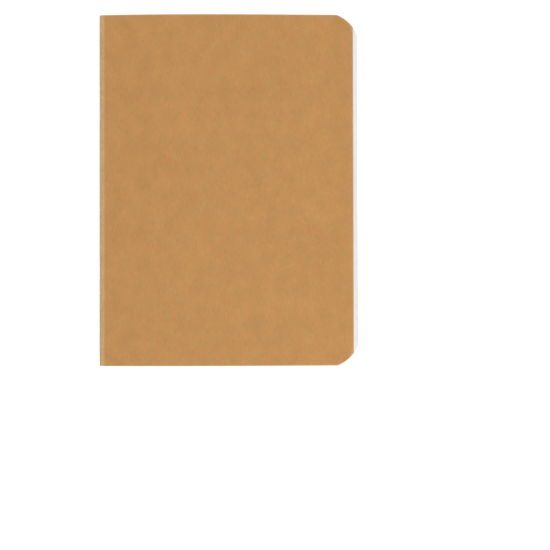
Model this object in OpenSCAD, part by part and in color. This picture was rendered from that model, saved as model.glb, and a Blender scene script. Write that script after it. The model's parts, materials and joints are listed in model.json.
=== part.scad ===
// Pocket notebook: ten folded sheets and a kraft card cover, nested and
// wire-stitched through one fold, then round-cornered at the fore edge.
// +X points to the fore edge, +Y to the head, +Z up through the front cover.
// The notebook lies on its back cover, and the origin is the centre of its footprint.

/* [Stock] */
// Height of the notebook, along the spine
page_h = 139.7; // [90:0.1:210]
// Width of the flat sheets and of the flat cover, before folding
flat_w = 203.2; // [130:0.1:300]
// Number of folded sheets, two leaves each
sheets = 10; // [10:1:10]
// Thickness of one sheet of paper
paper_t = 0.095; // [0.08:0.005:0.1]
// Distance from one sheet to the next, with the air between them
pitch = 0.105; // [0.105:0.005:0.12]
// Thickness of the cover card
card_t = 0.35; // [0.33:0.01:0.5]

/* [Corners] */
// Length that the corner punch takes off each edge of the innermost sheet
corner_leg = 8.3; // [5:0.1:12]
// Radius of the corner punch
corner_r = 14.5; // [14:0.1:20]

/* [Staples] */
// Length of a staple's crown
crown_w = 12; // [10:0.5:14]
// Distance from each end of the spine to the middle of a staple
staple_inset = 35; // [25:1:40]
// Thickness of the flat staple wire, across the spine
wire_t = 0.3; // [0.25:0.01:0.3]
// Width of the flat staple wire, around the spine
wire_w = 0.45; // [0.4:0.01:0.5]
// Gap between the two turned-in ends of a staple
clinch_gap = 1.6; // [1:0.2:3]

/* [Hinge] */
// Clearance between the fixed fold and the leaves that turn about it
hinge_gap = 0.06; // [0.05:0.01:0.1]

/* [Hidden] */
$fn = 96;
// Overlap that a cutter or a joint between outlines needs to be sure
over = 0.01;
// Room around the staple wire in the paper and card
wire_room = 0.02;
half_t = card_t + sheets * pitch;
page_reach = reach(0.5 * pitch);
spine_x = (half_t - page_reach) / 2;
cover_r = half_t - card_t / 2;
crown_x = -half_t;
clinch_x = 0.06;
kraft = [0.76, 0.57, 0.35];
paper = [0.93, 0.92, 0.90];
steel = [0.70, 0.70, 0.71];

// How far a layer reaches past the fold axis when it is folded at radius r
function reach(r) = flat_w / 2 - PI / 2 * r;
// Radius at which sheet i is folded, from 1 outside to 10 inside
function fold_r(i) = (sheets - i + 0.5) * pitch;
// Sheet that leaf k belongs to: leaves 1 to 10 are the front halves of
// sheets 1 to 10, and leaves 11 to 20 the rear halves of sheets 10 to 1
function sheet_of(k) = k <= sheets ? k : 2 * sheets + 1 - k;
// A leaf or fold number as two digits
function two(i) = str(i < 10 ? "0" : "", i);

// Everything is drawn about the fold axis, then moved to its place in the frame
module placed() {
    translate([spine_x, 0, half_t]) children();
}

// A round bar along the fold axis
module bar(r, length) {
    rotate([90, 0, 0]) cylinder(r = r, h = length, center = true);
}

// The outline of the punched block: straight edges, and one arc at each
// fore-edge corner that meets both edges at a slight angle
module block_outline() {
    half_chord = corner_leg / sqrt(2);
    centre_in = (half_chord + sqrt(corner_r * corner_r - half_chord * half_chord)) / sqrt(2);
    top = page_h / 2;
    translate([0, -top]) square([page_reach - corner_leg, page_h]);
    translate([0, corner_leg - top]) square([page_reach, page_h - 2 * corner_leg]);
    for (s = [-1, 1])
        intersection() {
            translate([page_reach - centre_in, s * (top - centre_in)]) circle(r = corner_r);
            translate([page_reach - corner_leg - over, s > 0 ? top - corner_leg - over : -top])
                square(corner_leg + over);
        }
}

// One flat layer from the fold axis to its own fore edge, with its middle at height z
module layer(r, z, t) {
    translate([0, 0, z - t / 2])
        linear_extrude(height = t)
            intersection() {
                block_outline();
                translate([0, -page_h]) square([reach(r), 2 * page_h]);
            }
}

// A leaf or a cover board: the layer outside the hinge cylinder
module panel(r, side, t) {
    placed()
        difference() {
            layer(r, side * r, t);
            bar(half_t + hinge_gap, 2 * page_h);
        }
}

// The bend of one layer, half a tube behind the axis, with the short flat
// stretches inside the hinge cylinder that stay with it
module bend(r, t) {
    intersection() {
        difference() {
            bar(r + t / 2, page_h);
            bar(r - t / 2, 2 * page_h);
        }
        translate([-2 * half_t, -page_h, -half_t]) cube([2 * half_t, 2 * page_h, 2 * half_t]);
    }
    for (side = [-1, 1])
        intersection() {
            layer(r, side * r, t);
            bar(half_t, 2 * page_h);
        }
}

// The room that the staples take up in the card and the paper
module staple_room() {
    for (s = [-1, 1])
        translate([0, s * (page_h / 2 - staple_inset), 0])
            staple(wire_room);
}

// One flat-wire staple about the fold axis: a crown pressed flush into the
// card, two legs through the fold, and two ends turned in at the middle
module staple(grow) {
    end_w = (crown_w - clinch_gap) / 2;
    high = wire_w + 2 * grow;
    translate([crown_x - grow, -crown_w / 2 - grow, -high / 2])
        cube([wire_t + 2 * grow, crown_w + 2 * grow, high]);
    for (e = [0, 1])
        mirror([0, e, 0]) {
            translate([crown_x, crown_w / 2 - wire_t - grow, -high / 2])
                cube([clinch_x + wire_t - crown_x, wire_t + 2 * grow, high]);
            translate([clinch_x - grow, crown_w / 2 - end_w - grow, -high / 2])
                cube([wire_t + 2 * grow, end_w + 2 * grow, high]);
        }
}

module back_cover() {
    color(kraft) panel(cover_r, -1, card_t);
}

module front_cover() {
    color(kraft) panel(cover_r, 1, card_t);
}

// The card around the spine, which joins the two boards
module cover_spine() {
    color(kraft)
        placed()
            difference() {
                bend(cover_r, card_t);
                staple_room();
            }
}

module fold(i) {
    color(paper)
        placed()
            difference() {
                bend(fold_r(i), paper_t);
                staple_room();
            }
}

module leaf(k) {
    color(paper) panel(fold_r(sheet_of(k)), k <= sheets ? 1 : -1, paper_t);
}

module staples() {
    color(steel)
        placed()
            for (s = [-1, 1])
                translate([0, s * (page_h / 2 - staple_inset), 0]) staple(0);
}

back_cover();
cover_spine();
front_cover();
staples();
for (i = [1:sheets])
    fold(i);
for (k = [1:2 * sheets])
    leaf(k);
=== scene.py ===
"""A pocket notebook: a kraft cover round ten folded sheets, stitched with two wire staples."""
import json
import math

import bmesh
import bpy
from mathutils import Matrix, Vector


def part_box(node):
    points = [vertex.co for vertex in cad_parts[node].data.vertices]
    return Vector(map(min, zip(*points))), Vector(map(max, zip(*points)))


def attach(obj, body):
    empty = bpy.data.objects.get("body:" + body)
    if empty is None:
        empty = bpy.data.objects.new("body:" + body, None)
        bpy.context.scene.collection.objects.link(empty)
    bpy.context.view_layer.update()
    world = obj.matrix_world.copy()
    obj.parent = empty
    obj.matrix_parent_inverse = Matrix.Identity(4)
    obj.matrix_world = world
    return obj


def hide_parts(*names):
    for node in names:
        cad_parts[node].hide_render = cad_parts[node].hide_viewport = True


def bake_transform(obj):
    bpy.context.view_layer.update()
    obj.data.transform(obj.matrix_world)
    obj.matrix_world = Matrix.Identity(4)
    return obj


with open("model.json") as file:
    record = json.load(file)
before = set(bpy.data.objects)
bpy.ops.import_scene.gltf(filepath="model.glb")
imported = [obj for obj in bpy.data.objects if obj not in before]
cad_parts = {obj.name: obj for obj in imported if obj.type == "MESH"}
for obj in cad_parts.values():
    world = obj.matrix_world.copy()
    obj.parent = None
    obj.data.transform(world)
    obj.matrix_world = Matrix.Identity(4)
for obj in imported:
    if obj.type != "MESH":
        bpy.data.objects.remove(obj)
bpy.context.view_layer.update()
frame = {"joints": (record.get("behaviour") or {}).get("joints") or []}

# Camera: looks almost straight down on the front cover, as on a copy stand. It
# stands over a point toward the fore edge and the foot, turned by a fraction of
# a degree, and the field is how wide it sees at the cover.
MM = 0.001
scene = bpy.context.scene
scene.view_settings.view_transform = "Standard"
cover_low, cover_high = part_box("front_cover")
stand_height = 420 * MM
field = 218.7 * MM
over_point = Vector((15.0 * MM, -39.4 * MM, cover_high.z))
turned = [math.radians(0.76), math.radians(-0.46), math.radians(-0.13)]
camera = bpy.data.objects.new("camera", bpy.data.cameras.new("camera"))
scene.collection.objects.link(camera)
camera.data.sensor_width = 36.0
camera.data.lens = camera.data.sensor_width * stand_height / field
camera.location = over_point + Vector((0, 0, stand_height))
camera.rotation_euler = turned
scene.camera = camera


# Studio: a white floor and two wide soft boxes in a white room, so the cover
# is lit evenly and the floor stays white. None of it is the notebook.
def linear(hex_colour):
    """An sRGB hex colour as linear RGBA."""
    channels = [int(hex_colour[i:i + 2], 16) / 255 for i in (1, 3, 5)]
    return [c / 12.92 if c <= 0.04045 else ((c + 0.055) / 1.055) ** 2.4 for c in channels] + [1.0]


def add(tree, kind, settings=None, **inputs):
    """Adds a node with its settings and its inputs, which are values or outputs to link.

    An input is named with _ for a space, or by its place as n0, n1 and so on. A list links several."""
    node = tree.nodes.new(kind)
    for key, value in (settings or {}).items():
        setattr(node, key, value)
    for key, value in inputs.items():
        socket = node.inputs[int(key[1:])] if key[1:].isdigit() else node.inputs[key.replace("_", " ")]
        several = isinstance(value, list) and isinstance(value[0], bpy.types.NodeSocket)
        for one in value if several else [value]:
            if isinstance(one, bpy.types.NodeSocket):
                tree.links.new(one, socket)
            else:
                socket.default_value = one
    return node


def new_material(name):
    """An empty node material: the material, its tree and its output node."""
    made = bpy.data.materials.new(name)
    made.use_nodes = True
    made.node_tree.nodes.clear()
    return made, made.node_tree, made.node_tree.nodes.new("ShaderNodeOutputMaterial")


# the floor lies clear of a cover folded round under the back, and glows so that it
# stays white
floor_drop = 4.8 * MM
floor_half = 6.0
floor_glow = 0.72
floor = bpy.data.objects.new("floor", bpy.data.meshes.new("floor"))
floor.data.from_pydata(
    [(x * floor_half, y * floor_half, -floor_drop) for x, y in ((-1, -1), (1, -1), (1, 1), (-1, 1))],
    [], [(0, 1, 2, 3)])
scene.collection.objects.link(floor)
floor_paint, tree, out = new_material("white_studio_floor")
matt = add(tree, "ShaderNodeBsdfDiffuse", Color=linear("#b8b8b8"))
glow = add(tree, "ShaderNodeEmission", Color=linear("#ffffff"), Strength=floor_glow)
both = add(tree, "ShaderNodeAddShader", n0=matt.outputs[0], n1=glow.outputs[0])
tree.links.new(both.outputs[0], out.inputs["Surface"])
floor.data.materials.append(floor_paint)

# the room is white at the horizon and dimmer overhead, like a lit white backdrop
horizon_level, overhead_level = 1.02, 0.535
overhead_from = 0.7
world = bpy.data.worlds.new("white_room")
world.use_nodes = True
tree = world.node_tree
look = add(tree, "ShaderNodeSeparateXYZ", n0=add(tree, "ShaderNodeTexCoord").outputs["Generated"])
dimmer = add(tree, "ShaderNodeMapRange", Value=look.outputs[2], From_Min=0.0, From_Max=overhead_from,
             To_Min=horizon_level, To_Max=overhead_level)
tree.links.new(dimmer.outputs[0], tree.nodes["Background"].inputs["Strength"])
tree.nodes["Background"].inputs["Color"].default_value = linear("#ffffff")
scene.world = world


def soft_box(name, place, size, power):
    """A square area lamp aimed at the notebook: its place and size in metres, its power in watts."""
    lamp = bpy.data.lights.new(name, "AREA")
    lamp.size = size
    lamp.energy = power
    box = bpy.data.objects.new(name, lamp)
    box.location = place
    box.rotation_euler = (-Vector(place)).to_track_quat("-Z", "Y").to_euler()
    scene.collection.objects.link(box)


soft_box("key_box", (0.75, -0.55, 0.95), 0.8, 11.0)
soft_box("fill_box", (-0.8, 0.3, 0.9), 0.8, 3.0)

# Cover: one card of uncoated kraft, scored, folded round the block, wire-stitched
# to it and punched with it at the fore edge. The card is matte and warm brown,
# with a cloudy formation and short fibres, paler where it is cut and along its
# rubbed edges, and paler on the fold, where a painted sheen lies over the wear.
fold_axis = frame["joints"][0]["pos_m"]
axis_x, axis_z = fold_axis[0], fold_axis[2]
page_h = cover_high.y - cover_low.y
card_t = cover_high.z - cover_low.z
# the middle sheet's leaves reach furthest from the fold
page_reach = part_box("leaf_10")[1].x - axis_x
# the punch takes one arc off each corner, and it meets both edges at a slight angle
corner_leg = 8.3 * MM
corner_r = 14.5 * MM
half_chord = corner_leg / math.sqrt(2)
corner_in = (half_chord + math.sqrt(corner_r ** 2 - half_chord ** 2)) / math.sqrt(2)
# the closed block is bowed: the top layer rises by the dome and the bottom one by
# this share of it, with a steep side at the fold and a slow one toward the fore edge
dome = 1.8 * MM
bowed = 0.65
arch_lean, arch_round = 0.75, 1.2
# shares of the dome: how much lower it is at head and foot, and how far the fore
# edge springs up and ripples
end_sag, fore_spring, ripple = 0.18, 0.25, 0.25
ripple_scale = 2.4
# a layer's columns and rows, and the share of the columns that lie beside the fold
columns, rows = 96, 36
crease_share = 0.18
crease_room = 1.4 * MM
# points closer than this are one, and an edge bent more than this is sharp
weld = 0.002 * MM
sharp_from = math.radians(40)


def kraft_material():
    """Unbleached softwood pulp, machine-made: matte, with clouds, bundles and single fibres."""
    made, tree, out = new_material("uncoated_kraft_card")
    flat = add(tree, "ShaderNodeUVMap", {"uv_map": "flat"})
    mm = add(tree, "ShaderNodeVectorMath", {"operation": "SCALE"}, Vector=flat.outputs[0], Scale=1000.0)
    tone = 1.0
    height = 0.0
    # Each pattern is one row: millimetres wide and tall, degrees turned, detail, noise from and
    # to, the tone at each, and height. The rows are two sizes of cloud, dark and pale bundles,
    # pale splinters, three ways that pale fibres lie, two that dark ones lie, and felt marks.
    # A single fibre is 0.03 mm wide, drawn at about 0.1 mm so that it shows.
    for wide, tall, turned, detail, low, high, at_low, at_high, raised in (
            (24.0, 30.0, 0, 2.0, 0.30, 0.70, 0.979, 1.021, 0.0),
            (5.5, 7.0, 0, 4.0, 0.30, 0.70, 0.962, 1.038, 0.0),
            (1.0, 2.3, 4, 1.0, 0.20, 0.38, 0.93, 1.0, 0.4),
            (0.9, 2.0, -5, 1.0, 0.62, 0.80, 1.0, 1.06, 0.4),
            (0.34, 2.8, 3, 0.0, 0.66, 0.84, 1.0, 1.08, 0.3),
            (0.11, 1.9, 6, 1.0, 0.60, 0.74, 1.0, 1.05, 0.2),
            (0.12, 1.5, -28, 1.0, 0.60, 0.74, 1.0, 1.05, 0.2),
            (0.11, 1.7, 52, 1.0, 0.60, 0.74, 1.0, 1.04, 0.2),
            (0.13, 1.5, 15, 1.0, 0.27, 0.40, 0.93, 1.0, 0.0),
            (0.12, 1.3, -40, 1.0, 0.27, 0.40, 0.94, 1.0, 0.0),
            (0.22, 0.3, 0, 3.0, 0.30, 0.70, 0.99, 1.01, 0.6)):
        grains = add(tree, "ShaderNodeMapping", Vector=mm.outputs[0], Location=(wide * 7, tall * 3, 0.0),
                     Rotation=(0.0, 0.0, math.radians(turned)), Scale=(1 / wide, 1 / tall, 1.0))
        noise = add(tree, "ShaderNodeTexNoise", {"noise_dimensions": "2D"}, Vector=grains.outputs[0],
                    Scale=1.0, Detail=detail)
        shade = add(tree, "ShaderNodeMapRange", Value=noise.outputs["Fac"], From_Min=low, From_Max=high,
                    To_Min=at_low, To_Max=at_high)
        toned = add(tree, "ShaderNodeMath", {"operation": "MULTIPLY"}, n0=tone, n1=shade.outputs[0])
        tone = toned.outputs[0]
        if raised:
            height = add(tree, "ShaderNodeMath", {"operation": "MULTIPLY_ADD"}, n0=noise.outputs["Fac"],
                         n1=raised, n2=height).outputs[0]
    # the pulp is a little redder or greener from place to place
    drift = add(tree, "ShaderNodeTexNoise", {"noise_dimensions": "2D"}, Vector=mm.outputs[0],
                Scale=1 / 3.5, Detail=3.0)
    pulp = add(tree, "ShaderNodeMix", {"data_type": "RGBA"}, Factor=drift.outputs["Fac"],
               n6=linear("#b08750"), n7=linear("#b8814d"))
    colour = add(tree, "ShaderNodeVectorMath", {"operation": "SCALE"}, Vector=pulp.outputs[2], Scale=tone)
    # handling rubs the card paler in patches along its edges; the paler band on the fold
    # is partly that wear and partly painted sheen, a painted highlight where light glances
    # off the rounded spine: each row is what it is measured from, how many millimetres it
    # reaches, and its most
    patches = add(tree, "ShaderNodeTexNoise", {"noise_dimensions": "2D"}, Vector=mm.outputs[0],
                  Scale=1 / 2.2, Detail=3.0)
    wear_and_sheen_amount = 0.0
    for distance, reach_mm, most in (("from_edge", 0.7, 0.30), ("from_fold", 1.3, 0.40)):
        metres = add(tree, "ShaderNodeAttribute", {"attribute_name": distance})
        near = add(tree, "ShaderNodeMapRange", {"interpolation_type": "SMOOTHSTEP"},
                   Value=metres.outputs["Fac"], From_Min=0.0, From_Max=reach_mm * MM,
                   To_Min=most, To_Max=0.0)
        nearer = add(tree, "ShaderNodeMath", {"operation": "MAXIMUM"}, n0=near.outputs[0], n1=wear_and_sheen_amount)
        wear_and_sheen_amount = nearer.outputs[0]
    share = add(tree, "ShaderNodeMapRange", Value=patches.outputs["Fac"], From_Min=0.35, From_Max=0.6,
                To_Min=0.65, To_Max=1.0)
    wear_and_sheen_amount = add(tree, "ShaderNodeMath", {"operation": "MULTIPLY"}, n0=wear_and_sheen_amount, n1=share.outputs[0])
    # one pale colour serves both the edge wear and the painted sheen on the fold
    pale = add(tree, "ShaderNodeVectorMath", {"operation": "SCALE"}, Vector=linear("#cbb796")[:3],
               Scale=tone)
    wear_and_sheen_colour = add(tree, "ShaderNodeMix", {"data_type": "RGBA"}, Factor=wear_and_sheen_amount.outputs[0],
               n6=colour.outputs[0], n7=pale.outputs[0])
    # raw fibre shows where the card is cut
    cut = add(tree, "ShaderNodeAttribute", {"attribute_name": "cut_edge"})
    raw = add(tree, "ShaderNodeVectorMath", {"operation": "SCALE"}, Vector=linear("#bd9361")[:3],
              Scale=tone)
    edged = add(tree, "ShaderNodeMix", {"data_type": "RGBA"}, Factor=cut.outputs["Fac"],
                n6=wear_and_sheen_colour.outputs[2], n7=raw.outputs[0])
    bump = add(tree, "ShaderNodeBump", Strength=0.35, Distance=0.05 * MM, Height=height)
    rough = add(tree, "ShaderNodeMapRange", Value=patches.outputs["Fac"], From_Min=0.3, From_Max=0.7,
                To_Min=0.74, To_Max=0.90)
    card = add(tree, "ShaderNodeBsdfPrincipled", Base_Color=edged.outputs[2], Roughness=rough.outputs[0],
               IOR=1.45, Specular_IOR_Level=0.3, Normal=bump.outputs[0])
    tree.links.new(card.outputs[0], out.inputs["Surface"])
    return made


def layer_tree():
    """Geometry nodes that make one layer, a board or a leaf, as a closed sheet.

    It is rounded by the punch, and bowed, a little more the higher it lies, as folded paper is."""
    tree = bpy.data.node_groups.new("punched_layer", "GeometryNodeTree")
    for name in ("Reach", "Middle", "Thickness", "Level", "Skew", "Seed"):
        tree.interface.new_socket(name, in_out="INPUT", socket_type="NodeSocketFloat")
    tree.interface.new_socket("Paint", in_out="INPUT", socket_type="NodeSocketMaterial")
    tree.interface.new_socket("Geometry", in_out="OUTPUT", socket_type="NodeSocketGeometry")
    given = tree.nodes.new("NodeGroupInput").outputs
    result = tree.nodes.new("NodeGroupOutput")
    grid = add(tree, "GeometryNodeMeshGrid", Size_X=1.0, Size_Y=1.0, Vertices_X=columns, Vertices_Y=rows)
    place = add(tree, "ShaderNodeSeparateXYZ", n0=add(tree, "GeometryNodeInputPosition").outputs[0])
    layer = add(tree, "ShaderNodeCombineXYZ", n0=place.outputs[0], n1=place.outputs[1], n2=given["Level"])
    slow = add(tree, "ShaderNodeTexNoise", Vector=layer.outputs[0], Scale=ripple_scale,
               Detail=1.0)
    known = {"along": place.outputs[0], "down": place.outputs[1], "slow": slow.outputs["Fac"]}
    known.update((socket.name, socket) for socket in given)
    # each row is a result, the operation that gives it, and what goes in
    for name, operation, first, second in (
            # some columns lie close together where the card creases, beside the fold
            ("done", "ADD", "along", 0.5),
            ("creased", "DIVIDE", "done", crease_share),
            ("creased so far", "MINIMUM", "creased", 1.0),
            ("crease x", "MULTIPLY", "creased so far", crease_room),
            # the others crowd toward the fore edge, where the corners are punched
            ("past crease", "SUBTRACT", "done", crease_share),
            ("past so far", "MAXIMUM", "past crease", 0.0),
            ("share past", "DIVIDE", "past so far", 1.0 - crease_share),
            ("share left", "SUBTRACT", 1.0, "share past"),
            ("crowded", "POWER", "share left", 2.0),
            ("covered", "SUBTRACT", 1.0, "crowded"),
            ("wide", "SUBTRACT", "Reach", crease_room),
            ("board x", "MULTIPLY", "wide", "covered"),
            ("x", "ADD", "crease x", "board x"),
            ("from fore edge", "SUBTRACT", "Reach", "x"),
            # half the height, less in the punched corners
            ("past corner centre", "SUBTRACT", "x", page_reach - corner_in),
            ("into corner", "MAXIMUM", "past corner centre", 0.0),
            ("into squared", "POWER", "into corner", 2.0),
            ("arc squared", "SUBTRACT", corner_r ** 2, "into squared"),
            ("arc", "SQRT", "arc squared", 0.0),
            ("arc half", "ADD", "arc", page_h / 2 - corner_in),
            ("half", "MINIMUM", "arc half", page_h / 2),
            ("twice down", "MULTIPLY", "down", 2.0),
            ("y", "MULTIPLY", "twice down", "half"),
            ("off middle", "ABSOLUTE", "y", 0.0),
            ("from end", "SUBTRACT", "half", "off middle"),
            ("inside", "MINIMUM", "from end", "from fore edge"),
            # an arch across the page, lower at head and foot
            ("raw across", "DIVIDE", "x", page_reach),
            ("above spine", "MAXIMUM", "raw across", 0.0),
            ("across", "MINIMUM", "above spine", 1.0),
            ("eased across", "POWER", "across", arch_lean),
            ("angle", "MULTIPLY", "eased across", math.pi),
            ("sine", "SINE", "angle", 0.0),
            ("whole sine", "MAXIMUM", "sine", 0.0),
            ("arch", "POWER", "whole sine", arch_round),
            ("end share", "DIVIDE", "y", page_h / 2),
            ("end size", "ABSOLUTE", "end share", 0.0),
            ("end power", "POWER", "end size", 4.0),
            ("end drop", "MULTIPLY", "end power", end_sag),
            ("ends", "SUBTRACT", 1.0, "end drop"),
            ("arch with ends", "MULTIPLY", "arch", "ends"),
            # the fore edge springs up, with slow ripples
            ("across cubed", "POWER", "across", 3.0),
            ("rise", "MULTIPLY", "across cubed", fore_spring),
            ("even slow", "SUBTRACT", "slow", 0.5),
            ("small slow", "MULTIPLY", "even slow", ripple),
            ("rippled", "MULTIPLY", "small slow", "across"),
            ("arch and rise", "ADD", "arch with ends", "rise"),
            ("shape", "ADD", "arch and rise", "rippled"),
            ("level power", "POWER", "Level", 1.2),
            ("loose share", "MULTIPLY", "level power", 1.0 - bowed),
            ("share", "ADD", "loose share", bowed),
            ("most", "MULTIPLY", "share", dome),
            ("lift", "MULTIPLY", "shape", "most"),
            ("half thickness", "MULTIPLY", "Thickness", 0.5),
            ("underside", "SUBTRACT", "Middle", "half thickness"),
            ("z", "ADD", "underside", "lift"),
            # no sheet is folded quite square, so its fore edge stands a little askew
            ("across squared", "POWER", "across", 2.0),
            ("skew here", "MULTIPLY", "Skew", "across squared"),
            ("askew", "MULTIPLY", "skew here", "end share"),
            ("x askew", "ADD", "x", "askew"),
            ("x in frame", "ADD", "x askew", axis_x)):
        known[name] = add(tree, "ShaderNodeMath", {"operation": operation}, n0=known.get(first, first),
                          n1=known.get(second, second)).outputs[0]
    measured = add(tree, "GeometryNodeStoreNamedAttribute", {"data_type": "FLOAT", "domain": "POINT"},
                   Geometry=grid.outputs[0], Name="from_edge", Value=known["inside"])
    measured = add(tree, "GeometryNodeStoreNamedAttribute", {"data_type": "FLOAT", "domain": "POINT"},
                   Geometry=measured.outputs[0], Name="from_fold", Value=known["x"])
    spot = add(tree, "ShaderNodeCombineXYZ", n0=known["x in frame"], n1=known["y"], n2=known["z"])
    flat = add(tree, "GeometryNodeSetPosition", Geometry=measured.outputs[0], Position=spot.outputs[0])
    up = add(tree, "ShaderNodeCombineXYZ", n2=given["Thickness"])
    thick = add(tree, "GeometryNodeExtrudeMesh", Mesh=flat.outputs[0], Offset=up.outputs[0],
                Offset_Scale=1.0, Individual=False)
    upper = add(tree, "GeometryNodeStoreNamedAttribute", {"data_type": "FLOAT", "domain": "FACE"},
                Geometry=thick.outputs[0], Name="cut_edge", Value=thick.outputs["Side"])
    under = add(tree, "GeometryNodeFlipFaces", Mesh=flat.outputs[0])
    under = add(tree, "GeometryNodeStoreNamedAttribute", {"data_type": "FLOAT", "domain": "FACE"},
                Geometry=under.outputs[0], Name="cut_edge", Value=0.0)
    both = add(tree, "GeometryNodeJoinGeometry", Geometry=[upper.outputs[0], under.outputs[0]])
    whole = add(tree, "GeometryNodeMergeByDistance", Geometry=both.outputs[0], Distance=weld)
    # a pattern starts at the fold, and each layer's starts elsewhere by its seed
    where = add(tree, "ShaderNodeSeparateXYZ", n0=add(tree, "GeometryNodeInputPosition").outputs[0])
    start = add(tree, "ShaderNodeMath", {"operation": "SUBTRACT"}, n0=given["Seed"], n1=axis_x)
    across = add(tree, "ShaderNodeMath", {"operation": "ADD"}, n0=where.outputs[0], n1=start.outputs[0])
    uv = add(tree, "ShaderNodeCombineXYZ", n0=across.outputs[0], n1=where.outputs[1])
    mapped = add(tree, "GeometryNodeStoreNamedAttribute", {"data_type": "FLOAT2", "domain": "CORNER"},
                 Geometry=whole.outputs[0], Name="flat", Value=uv.outputs[0])
    real = add(tree, "GeometryNodeRealizeInstances", Geometry=mapped.outputs[0])
    painted = add(tree, "GeometryNodeSetMaterial", Geometry=real.outputs[0], Material=given["Paint"])
    tree.links.new(painted.outputs[0], result.inputs[0])
    return tree


def run_tree(name, tree, values):
    """An object whose plain mesh is what the node tree makes from these inputs."""
    made = bpy.data.objects.new(name, bpy.data.meshes.new(name))
    scene.collection.objects.link(made)
    nodes = made.modifiers.new("nodes", "NODES")
    nodes.node_group = tree
    for item in tree.interface.items_tree:
        if item.in_out == "INPUT":
            nodes[item.identifier] = values[item.name]
    evaluated = made.evaluated_get(bpy.context.evaluated_depsgraph_get())
    mesh = bpy.data.meshes.new_from_object(evaluated)
    made.modifiers.clear()
    made.data = mesh
    mesh.name = name
    mesh.shade_smooth()
    mesh.set_sharp_from_angle(angle=sharp_from)
    return made


kraft = kraft_material()
punched_layer = layer_tree()
cover_reach = cover_high.x - axis_x
card_r = axis_z - card_t / 2
front_board = run_tree("front_board", punched_layer, {
    "Reach": cover_reach, "Middle": axis_z + card_r, "Thickness": card_t,
    "Level": 1.0, "Skew": 0.0, "Seed": 0.0, "Paint": kraft})
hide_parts("front_cover")
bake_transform(front_board)

back_seed = 0.4
back_board = run_tree("back_board", punched_layer, {
    "Reach": cover_reach, "Middle": axis_z - card_r, "Thickness": card_t,
    "Level": 0.0, "Skew": 0.0, "Seed": back_seed, "Paint": kraft})
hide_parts("back_cover")
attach(back_board, "root")

# the bends of the cover and the sheets, and where the staples press into the spine
fold_steps = 24
staple_low, staple_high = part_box("staples")
crown_w = 12 * MM
staple_y = staple_high.y - crown_w / 2
wire_t = 0.3 * MM
wire_w = staple_high.z - staple_low.z
# the card is pressed in a little deeper than the wire, and rises again this far from it
dent_depth = wire_t + 0.02 * MM
dent_reach = 0.45 * MM
close_reach = 9 * MM


def along_spine():
    """Stations down the spine, close together where a staple is pressed in."""
    close_mm = (0, 2, 4, 5.7, 6.0, 6.25, 6.5, 7, 8)
    near = [staple_y + side * d * MM for d in close_mm for side in (-1, 1)]
    even = [page_h / 2 * i / 10 for i in range(11)]
    half = near + [y for y in even if abs(y - staple_y) > close_reach]
    return sorted({round(side * y, 7) for y in half for side in (-1, 1)})


def dent(y, z):
    """How deep the card is pressed in under a staple's crown."""
    out_y = max(abs(abs(y) - staple_y) - crown_w / 2, 0.0)
    out_z = max(abs(z) - wire_w / 2, 0.0)
    near = max(0.0, 1 - math.hypot(out_y, out_z) / dent_reach)
    return dent_depth * near ** 2 * (3 - 2 * near)


def fold_strip(name, radius, thickness, paint, pressed=False):
    """The bend of one layer: half a tube round the fold axis, as a closed mesh.

    A corner in a ring is a point and how far along the layer it lies from the end of the bend."""
    made = bmesh.new()
    flat = made.loops.layers.uv.new("flat")
    cut = made.faces.layers.float.new("cut_edge")
    from_edge = made.verts.layers.float.new("from_edge")
    from_fold = made.verts.layers.float.new("from_fold")
    stations = along_spine() if pressed else [-page_h / 2, 0.0, page_h / 2]
    # a trace of spiral and of slant keeps the bend off itself where it gathers
    spiral = 0.004 * MM
    slant = 0.03 * MM
    rings = []
    for y in stations:
        ring = []
        for side in (1, -1):
            for i in range(fold_steps + 1):
                turn = math.pi * (i if side > 0 else fold_steps - i) / fold_steps
                r = radius + side * thickness / 2 - spiral * turn / math.pi
                if pressed and side > 0:
                    r -= dent(y, r * math.cos(turn))
                at_end = abs(y) > page_h / 2 - slant
                slanted = y - math.copysign(slant * turn / math.pi, y) if at_end else y
                spot = (axis_x - r * math.sin(turn), slanted, axis_z - r * math.cos(turn))
                ring.append((made.verts.new(spot), radius * (turn - math.pi)))
        rings.append(ring)
    count = len(rings[0])

    def face(corners, edge):
        new = made.faces.new([point for point, along in corners])
        new[cut] = edge
        for loop, (point, along) in zip(new.loops, corners):
            loop[flat].uv = (along, point.co.y)

    for low, high in zip(rings, rings[1:]):
        for i in range(count):
            j = (i + 1) % count
            face([low[i], high[i], high[j], low[j]], 0.0)
    for ring, turn_over in ((rings[0], False), (rings[-1], True)):
        for i in range(fold_steps):
            quad = [ring[i], ring[i + 1], ring[count - 2 - i], ring[count - 1 - i]]
            face(quad[::-1] if turn_over else quad, 1.0)
    # the whole bend is counted as on the fold, so on the card it takes the full wear and painted sheen
    for point in made.verts:
        point[from_edge] = page_h / 2 - abs(point.co.y)
        point[from_fold] = 0.0
    bmesh.ops.recalc_face_normals(made, faces=made.faces)
    mesh = bpy.data.meshes.new(name)
    made.to_mesh(mesh)
    made.free()
    mesh.materials.append(paint)
    mesh.shade_smooth()
    mesh.set_sharp_from_angle(angle=sharp_from)
    strip = bpy.data.objects.new(name, mesh)
    scene.collection.objects.link(strip)
    return strip


def open_with(strip):
    """Bakes the bend's place into its mesh, as it lies at rest."""
    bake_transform(strip)


spine_card = fold_strip("spine_card", card_r, card_t, kraft, pressed=True)
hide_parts("cover_spine")
open_with(spine_card)

# Sheets: ten sheets, each folded once to make two leaves. The outer ones go
# round more of the others and so reach less far at the fore edge. The paper is
# plain white writing paper of about 80 g/m2, matte. Its cut faces are a greyer
# white and its margins a little darker, both painted shade.


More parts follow.
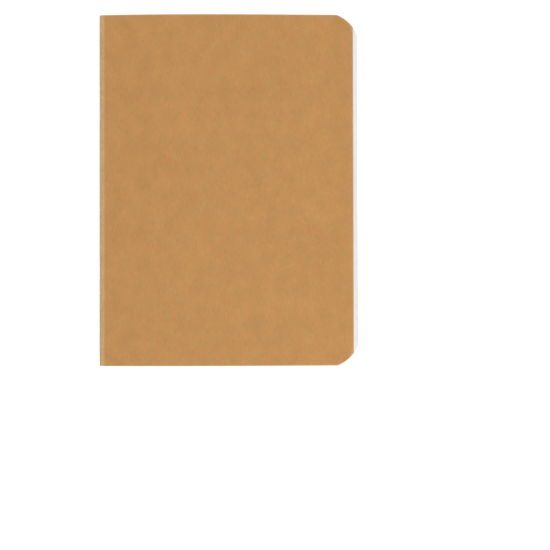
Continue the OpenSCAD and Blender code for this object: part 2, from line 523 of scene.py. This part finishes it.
def paper_material():
    """Wood-free pulp, calendered and left uncoated: faintly cloudy, with a fine even grain."""
    made, tree, out = new_material("plain_writing_paper")
    flat = add(tree, "ShaderNodeUVMap", {"uv_map": "flat"})
    mm = add(tree, "ShaderNodeVectorMath", {"operation": "SCALE"}, Vector=flat.outputs[0], Scale=1000.0)
    tone = 1.0
    for size_mm, detail, least in ((14.0, 2.0, 0.985), (3.5, 3.0, 0.98), (0.25, 2.0, 0.985)):
        noise = add(tree, "ShaderNodeTexNoise", {"noise_dimensions": "2D"}, Vector=mm.outputs[0],
                    Scale=1 / size_mm, Detail=detail)
        shade = add(tree, "ShaderNodeMapRange", Value=noise.outputs["Fac"], From_Min=0.3, From_Max=0.7,
                    To_Min=least, To_Max=1.0)
        toned = add(tree, "ShaderNodeMath", {"operation": "MULTIPLY"}, n0=tone, n1=shade.outputs[0])
        tone = toned.outputs[0]
    # painted shade: the paper is a little darker within 3 mm of its head, foot and fore edge
    from_edge = add(tree, "ShaderNodeAttribute", {"attribute_name": "from_edge"})
    painted_edge_shade = add(tree, "ShaderNodeMapRange", Value=from_edge.outputs["Fac"], From_Min=0.0,
                  From_Max=3.0 * MM, To_Min=0.945, To_Max=1.0)
    toned = add(tree, "ShaderNodeMath", {"operation": "MULTIPLY"}, n0=tone, n1=painted_edge_shade.outputs[0])
    white = add(tree, "ShaderNodeVectorMath", {"operation": "SCALE"}, Vector=linear("#e6e6e5")[:3],
                Scale=toned.outputs[0])
    # painted shade: the cut faces are a greyer white than the pages
    cut = add(tree, "ShaderNodeAttribute", {"attribute_name": "cut_edge"})
    edged = add(tree, "ShaderNodeMix", {"data_type": "RGBA"}, Factor=cut.outputs["Fac"],
                n6=white.outputs[0], n7=linear("#dad9d6"))
    bump = add(tree, "ShaderNodeBump", Strength=0.15, Distance=0.02 * MM, Height=noise.outputs["Fac"])
    sheet = add(tree, "ShaderNodeBsdfPrincipled", Base_Color=edged.outputs[2], Roughness=0.85, IOR=1.45,
                Specular_IOR_Level=0.3, Normal=bump.outputs[0])
    tree.links.new(sheet.outputs[0], out.inputs["Surface"])
    return made


paper = paper_material()
sheets = 10
leaf_low, leaf_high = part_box("leaf_01")
paper_t = leaf_high.z - leaf_low.z
# from leaf to leaf the fore edge stands differently askew, and the pattern moves on
askew = 0.08 * MM
skew_step = 2.4
seed_step = 0.15
for k in range(1, 2 * sheets + 1):
    node = f"leaf_{k:02d}"
    low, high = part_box(node)
    middle = (low.z + high.z) / 2
    leaf = run_tree(f"{node}_paper", punched_layer, {
        "Reach": high.x - axis_x, "Middle": middle, "Thickness": paper_t,
        "Level": middle / cover_high.z, "Skew": askew * math.sin(k * skew_step),
        "Seed": seed_step * k, "Paint": paper})
    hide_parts(node)
    if k <= sheets:
        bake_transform(leaf)
        fold = fold_strip(f"fold_{k:02d}_paper", middle - axis_z, paper_t, paper)
        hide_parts(f"fold_{k:02d}")
        open_with(fold)
    else:
        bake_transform(leaf)

# Staples: flat galvanised steel wire, cut, driven through the fold from the
# spine and turned in at the middle of the block. The crown lies flush in the
# card, and the wire keeps the dull grey of its zinc and the lines of its drawing.


def wire_material():
    """Zinc-coated steel, drawn through a die: a dull grey metal with fine lines along it.

    The lines are drawn about 0.12 mm apart, which is coarser than the real ones, so that they show."""
    made, tree, out = new_material("galvanised_stitching_wire")
    where = add(tree, "ShaderNodeTexCoord")
    mm = add(tree, "ShaderNodeVectorMath", {"operation": "SCALE"}, Vector=where.outputs["Object"],
             Scale=1000.0)
    drawn = add(tree, "ShaderNodeMapping", Vector=mm.outputs[0], Scale=(8.0, 0.6, 8.0))
    lines = add(tree, "ShaderNodeTexNoise", Vector=drawn.outputs[0], Scale=1.0, Detail=2.0)
    rough = add(tree, "ShaderNodeMapRange", Value=lines.outputs["Fac"],
                From_Min=0.3, From_Max=0.7, To_Min=0.28, To_Max=0.5)
    shade = add(tree, "ShaderNodeMix", {"data_type": "RGBA"}, Factor=lines.outputs["Fac"],
                n6=linear("#9c9da0"), n7=linear("#c6c7c9"))
    wire = add(tree, "ShaderNodeBsdfPrincipled", Base_Color=shade.outputs[2], Metallic=1.0,
               Roughness=rough.outputs[0])
    tree.links.new(wire.outputs[0], out.inputs["Surface"])
    return made


# the wire's bends, and the rounding of its edges as a share of its thickness
bend_steps, ease_steps = 5, 2
wire_ease = 0.3


def staple_tree(paint):
    """Geometry nodes that bend a flat wire into a staple and set it at each place."""
    tree = bpy.data.node_groups.new("wire_staples", "GeometryNodeTree")
    for name in ("Crown", "Turned In", "Leg", "Wire Width", "Wire Thickness", "Bend", "Inset"):
        tree.interface.new_socket(name, in_out="INPUT", socket_type="NodeSocketFloat")
    tree.interface.new_socket("Geometry", in_out="OUTPUT", socket_type="NodeSocketGeometry")
    given = tree.nodes.new("NodeGroupInput").outputs
    result = tree.nodes.new("NodeGroupOutput")
    line = add(tree, "GeometryNodeMeshLine", Count=6)
    curve = add(tree, "GeometryNodeMeshToCurve", Mesh=line.outputs[0])
    known = {"index": add(tree, "GeometryNodeInputIndex").outputs[0]}
    known.update((socket.name, socket) for socket in given)
    # six points, from end to end: a turned-in end, a clinched corner and a crown corner,
    # then the same three the other way round
    for name, operation, first, second in (
            ("from middle", "SUBTRACT", "index", 2.5),
            ("side", "SIGN", "from middle", 0.0),
            ("off", "ABSOLUTE", "from middle", 0.0),
            ("is driven", "GREATER_THAN", "off", 1.0),
            ("is end", "GREATER_THAN", "off", 2.0),
            ("x", "MULTIPLY", "is driven", "Leg"),
            ("between wires", "SUBTRACT", "Crown", "Wire Thickness"),
            ("half", "MULTIPLY", "between wires", 0.5),
            ("turned in here", "MULTIPLY", "is end", "Turned In"),
            ("reach", "SUBTRACT", "half", "turned in here"),
            ("y", "MULTIPLY", "side", "reach"),
            ("ease", "MULTIPLY", "Wire Thickness", wire_ease),
            ("lower place", "MULTIPLY", "Inset", -1.0),
            ("step", "MULTIPLY", "Inset", 2.0),
            # the crown lies flush with the outside of the spine
            ("half wire", "MULTIPLY", "Wire Thickness", 0.5),
            ("crown x", "ADD", "half wire", axis_x - axis_z)):
        known[name] = add(tree, "ShaderNodeMath", {"operation": operation}, n0=known.get(first, first),
                          n1=known.get(second, second)).outputs[0]
    corner = add(tree, "ShaderNodeCombineXYZ", n0=known["x"], n1=known["y"])
    path = add(tree, "GeometryNodeSetPosition", Geometry=curve.outputs[0], Position=corner.outputs[0])
    bent = add(tree, "GeometryNodeFilletCurve", {"mode": "POLY"}, Curve=path.outputs[0],
               Radius=given["Bend"], n1=bend_steps, Limit_Radius=True)
    section = add(tree, "GeometryNodeCurvePrimitiveQuadrilateral",
                  Width=given["Wire Thickness"], Height=given["Wire Width"])
    eased = add(tree, "GeometryNodeFilletCurve", {"mode": "POLY"}, Curve=section.outputs[0],
                Radius=known["ease"], n1=ease_steps, Limit_Radius=True)
    wire = add(tree, "GeometryNodeCurveToMesh", Curve=bent.outputs[0], Profile_Curve=eased.outputs[0],
               Fill_Caps=True)
    here = add(tree, "ShaderNodeCombineXYZ", n1=known["lower place"])
    step = add(tree, "ShaderNodeCombineXYZ", n1=known["step"])
    places = add(tree, "GeometryNodeMeshLine", Count=2, Start_Location=here.outputs[0],
                 Offset=step.outputs[0])
    set_in = add(tree, "GeometryNodeInstanceOnPoints", Points=places.outputs[0], Instance=wire.outputs[0])
    crown_x = add(tree, "ShaderNodeCombineXYZ", n0=known["crown x"], n2=axis_z)
    moved = add(tree, "GeometryNodeSetPosition", Geometry=set_in.outputs[0], Offset=crown_x.outputs[0])
    real = add(tree, "GeometryNodeRealizeInstances", Geometry=moved.outputs[0])
    painted = add(tree, "GeometryNodeSetMaterial", Geometry=real.outputs[0], Material=paint)
    tree.links.new(painted.outputs[0], result.inputs[0])
    return tree


# the turned-in ends stop this far apart
clinch_gap = 1.6 * MM
wire_bend = 0.3 * MM
staples = run_tree("wire_staples", staple_tree(wire_material()), {
    "Crown": crown_w, "Turned In": (crown_w - clinch_gap) / 2,
    "Leg": staple_high.x - staple_low.x - wire_t, "Wire Width": wire_w, "Wire Thickness": wire_t,
    "Bend": wire_bend, "Inset": staple_y})
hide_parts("staples")
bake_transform(staples)
